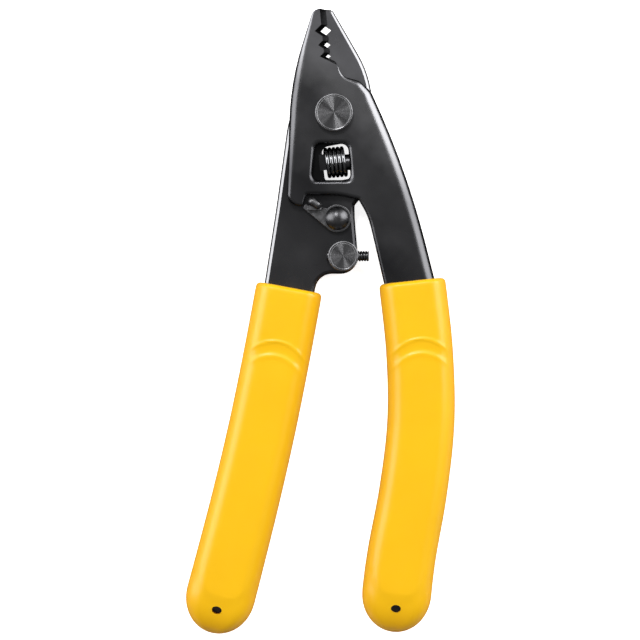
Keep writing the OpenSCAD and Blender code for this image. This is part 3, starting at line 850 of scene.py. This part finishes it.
gripRings = {
    "lipShares": (0.15, 0.35, 0.65, 1), "plainShares": (0.25, 0.5, 0.75, 1),
    "ridgesFrom": 12.5, "ridgeStep": 0.2, "ridgeCount": 66,
    "longCount": 22, "slope": 7, "slopeCount": 10,
    "endAngles": (8, 16, 24, 32, 40, 48, 55, 62, 69, 75, 80, 85),  # round the quarter circle of the end
}


def makeLine(name, points):  # a smooth curve through the points, level in the ground plane
    curve = bpy.data.curves.new(name, "CURVE")
    curve.dimensions = "3D"
    curve.twist_mode = "Z_UP"
    curve.resolution_u = 24
    spline = curve.splines.new("BEZIER")
    spline.bezier_points.add(len(points) - 1)
    for i, point in enumerate(points):
        here = Vector((*point, 0)) * mm
        before = Vector((*points[i - 1], 0)) * mm if i > 0 else None
        after = Vector((*points[i + 1], 0)) * mm if i + 1 < len(points) else None
        slope = (after - before) / 2 if before and after else (after - here if after else here - before)
        spot = spline.bezier_points[i]
        spot.handle_left_type = spot.handle_right_type = "FREE"
        spot.co, spot.handle_left, spot.handle_right = here, here - slope / 3, here + slope / 3
    line = bpy.data.objects.new(name, curve)
    bpy.context.scene.collection.objects.link(line)
    return line, spline.calc_length() / mm


def gripStations(length, g, r):  # distances of the rings from the open end, in mm
    lip = [g["lip"] * share for share in r["lipShares"]]
    plain = [g["lip"] + (r["ridgesFrom"] - g["lip"]) * share for share in r["plainShares"]]
    ridges = [r["ridgesFrom"] + r["ridgeStep"] * i for i in range(1, r["ridgeCount"] + 1)]
    padEnd = length - g["round"] - r["slope"]
    count = r["longCount"]
    long = [ridges[-1] + (padEnd - ridges[-1]) * i / count for i in range(1, count + 1)]
    count = r["slopeCount"]
    slope = [padEnd + r["slope"] * i / count for i in range(1, count + 1)]
    end = [length - g["round"] * (1 - math.sin(math.radians(angle))) for angle in r["endAngles"]]
    return lip + plain + ridges + long + slope + end


def ringScale(along, length, g):  # width, and height share, of the ring there
    share = along / length
    width = g["topW"] + (g["endW"] - g["topW"]) * share * share
    closed = max(1 - (length - along) / g["round"], 0)
    lip = max(1 - along / g["lip"], 0)
    cut = 2 * g["lip"] * (1 - math.sqrt(1 - lip * lip))
    end = math.sqrt(1 - closed * closed)
    return (width * end - cut) / g["topW"], end ** g["endFlat"] - cut / g["height"]


def beadHeight(past, front, back, height):  # a raised line, seen along the grip
    return height * math.exp(-(past / (front if past < 0 else back)) ** 2)


def padHeight(across, along, length, g, shift):  # how far the front stands up, as a share of its most
    width = ringScale(along, length, g)[0] * g["topW"] / 2
    bow = g["bow"] * (across / g["bowAt"]) ** 2
    fromFirst = along - g["firstRidge"] - bow - shift
    fromSecond = along - g["secondRidge"] - bow - shift
    lowered = smoothStep(fromFirst / g["easeDown"])
    dip = g["dip"] * (lowered - smoothStep((fromSecond + g["slope"]) / g["slope"]))
    half = g["topW"] / 2 - g["padMargin"]
    beyond = max(along - (length - g["padEnd"] - half), 0)  # the pad ends in a half circle
    side = smoothStep((width - g["padMargin"] - abs(across)) / g["padSide"] + 1)
    halfRound = smoothStep((half - math.hypot(across, beyond)) / g["padEndSide"] + 1)
    bead = beadHeight(fromFirst, *g["beads"]["first"]) + beadHeight(fromSecond, *g["beads"]["second"])
    return (1 - dip + bead) * (min(side, halfRound) if beyond else side) / (1 + g["bead"])


def makeGrip(name, side, g):
    line, length = makeLine(name + "Line", gripLines[side])
    middleZ = g["middleZ"]
    # a standing section with rounded corners, drawn out ring by ring along X
    bpy.ops.mesh.primitive_plane_add(size=1, location=(0, 0, middleZ * mm), rotation=(0, math.pi / 2, 0))
    piece = started(name)
    piece.scale = (g["height"] * mm, g["topW"] * mm, 1)
    placed(piece)
    startEdit(piece)
    bpy.ops.mesh.select_mode(type="VERT")
    bpy.ops.mesh.select_all(action="SELECT")
    bpy.ops.mesh.bevel(offset=g["corner"] * mm, segments=g["cornerSteps"], affect="VERTICES")
    halfWide, halfHigh = g["topW"] / 2 - g["corner"], g["height"] / 2 - g["corner"]
    pick(piece, "EDGE", lambda e: abs(e.verts[0].co.y - e.verts[1].co.y) > halfWide * mm)
    bpy.ops.mesh.subdivide(number_cuts=g["flatCuts"][0])
    pick(piece, "EDGE", lambda e: abs(e.verts[0].co.z - e.verts[1].co.z) > halfHigh * mm)
    bpy.ops.mesh.subdivide(number_cuts=g["flatCuts"][1])
    bpy.ops.mesh.select_mode(type="FACE")
    bpy.ops.mesh.select_all(action="SELECT")
    wide, high = ringScale(0, length, g)
    scaledAbout((1, wide, high), (0, 0, middleZ))
    at = 0
    for along in gripStations(length, g, gripRings):
        newWide, newHigh = ringScale(along, length, g)
        drawnOut(along - at, 0, 0)
        scaledAbout((1, newWide / wide, newHigh / high), (along, 0, middleZ))
        at, wide, high = along, newWide, newHigh
    # the end is drawn in to a small cap
    drawnOut(length - at, 0, 0)
    scaledAbout((1, *g["cap"]), (length, 0, middleZ))
    facedOut()
    endEdit()
    raised = piece.vertex_groups.new(name="raised")
    for vertex in piece.data.vertices:
        x, y, z = vertex.co / mm
        over = z - middleZ - g["riseFrom"]
        if over > 0:
            share = padHeight(y, x, length, g, g["ridgeShift"][side]) * smoothStep(over / g["riseOver"])
            raised.add([vertex.index], min(max(share, 0), 1), "REPLACE")
    applied(piece, "DISPLACE", {
        "strength": g["padRise"] * (1 + g["bead"]) * mm, "mid_level": 0, "direction": "Z",
        "vertex_group": "raised"})
    piece.vertex_groups.clear()
    applied(piece, "CURVE", {"object": line, "deform_axis": "POS_X"})
    applied(piece, "SUBSURF", {"levels": 1, "render_levels": 1})
    bpy.data.objects.remove(line)
    return piece


def drilled(piece, side, g):  # the small oval hole near the round end
    points = gripLines[side]
    last, before = Vector(points[-1]), Vector(points[-2])
    way = (last - before).normalized()
    x, y = last - way * g["holeFromEnd"]
    bpy.ops.mesh.primitive_cylinder_add(vertices=48, radius=g["holeH"] / 2 * mm, depth=through * mm)
    cutter = started("cutter")
    cutter.scale = (g["holeW"] / g["holeH"], 1, 1)
    cutter.rotation_euler = (0, 0, math.atan2(way.x, -way.y))
    cutter.location = (x * mm, y * mm, g["middleZ"] * mm)
    placed(cutter)
    combined(piece, cutter, "DIFFERENCE")


vinyl = mouldedVinyl()
for side, body in (("left", "rear"), ("right", "front")):
    grip = makeGrip(side + "Grip", side, gripShape)
    drilled(grip, side, gripShape)
    shaded(grip, 40)
    finish(grip, [vinyl], body, side + "_grip")
say("grips made")

# Pale card under even light: a plain, near-white ground where shadows stay faint
stagePlan = {
    "size": 6.0, "drop": 0.2,  # the card lies a little below the lowest point
    "card": [(0, "#fafafa"), (1, "#fdfdfd")], "glow": 0.75,
}
bpy.ops.mesh.primitive_plane_add(size=stagePlan["size"],
                                 location=(0, 0, cadBox[0][2] - stagePlan["drop"] * mm))
floor = started("floor")
placed(floor)
paper, paperTree, paperSurface, paperPlace = newMaterial("paleCard", {
    "Roughness": 0.9, "Specular IOR Level": 0.1,
    "Emission Color": (1, 1, 1, 1), "Emission Strength": stagePlan["glow"]})
mottle = addNode(paperTree, "ShaderNodeTexNoise", {"Scale": 3, "Detail": 1}, {"Vector": paperPlace})
card = addNode(paperTree, "ShaderNodeValToRGB", {
    "stops": stagePlan["card"]}, {"Fac": mottle.outputs["Fac"]})
paperTree.links.new(card.outputs["Color"], paperSurface["Base Color"])
floor.data.materials.append(paper)
floor.visible_glossy = False

skyPlan = {"tones": [(0.0, 0.02), (0.9, 1)], "strength": 0.24}  # light against the height looked at
world = bpy.context.scene.world or bpy.data.worlds.new("studio")
bpy.context.scene.world = world
world.use_nodes = True
sky = world.node_tree
sky.nodes.clear()
view = addNode(sky, "ShaderNodeTexCoord")
height = addNode(sky, "ShaderNodeSeparateXYZ", None, {"Vector": view.outputs["Generated"]}).outputs["Z"]
tone = addNode(sky, "ShaderNodeValToRGB", None, {"Fac": height})
for element, (position, light) in zip(tone.color_ramp.elements, skyPlan["tones"]):
    element.position = position
    element.color = (light, light, light, 1)
glow = addNode(sky, "ShaderNodeBackground", {
    "Strength": skyPlan["strength"]}, {"Color": tone.outputs["Color"]})
addNode(sky, "ShaderNodeOutputWorld", None, {"Surface": glow.outputs[0]})

lampPlan = {  # azimuth, elevation, distance, size across, size up, energy
    "sideRight": (27, 31, 0.9, 0.7, 0.85, 11),
    "overTop": (104, 56, 0.9, 0.2, 0.2, 3.2),
    "sideLeft": (163, 31, 0.9, 0.7, 0.85, 9),
}
aim = Vector((0.0, -0.05, 0.0))
for name, (azimuth, elevation, distance, across, tall, energy) in lampPlan.items():
    lamp = bpy.data.lights.new(name, "AREA")
    lamp.shape = "RECTANGLE"
    lamp.size, lamp.size_y, lamp.energy = across, tall, energy
    holder = bpy.data.objects.new(name, lamp)
    a, e = math.radians(azimuth), math.radians(elevation)
    way = Vector((math.cos(e) * math.cos(a), math.cos(e) * math.sin(a), math.sin(e)))
    holder.location = aim + way * distance
    holder.rotation_euler = way.to_track_quat("Z", "Y").to_euler()
    bpy.context.scene.collection.objects.link(holder)

cameraPlan = {"x": -3.75, "y": -55.8, "z": 870, "lens": 180, "sensor": 36}
lens = bpy.data.cameras.new("camera")
lens.lens = cameraPlan["lens"]
lens.sensor_width = cameraPlan["sensor"]
camera = bpy.data.objects.new("camera", lens)
camera.location = tuple(cameraPlan[axis] * mm for axis in "xyz")
bpy.context.scene.collection.objects.link(camera)
bpy.context.scene.camera = camera
bpy.context.scene.view_settings.view_transform = "Standard"
say("stage set")
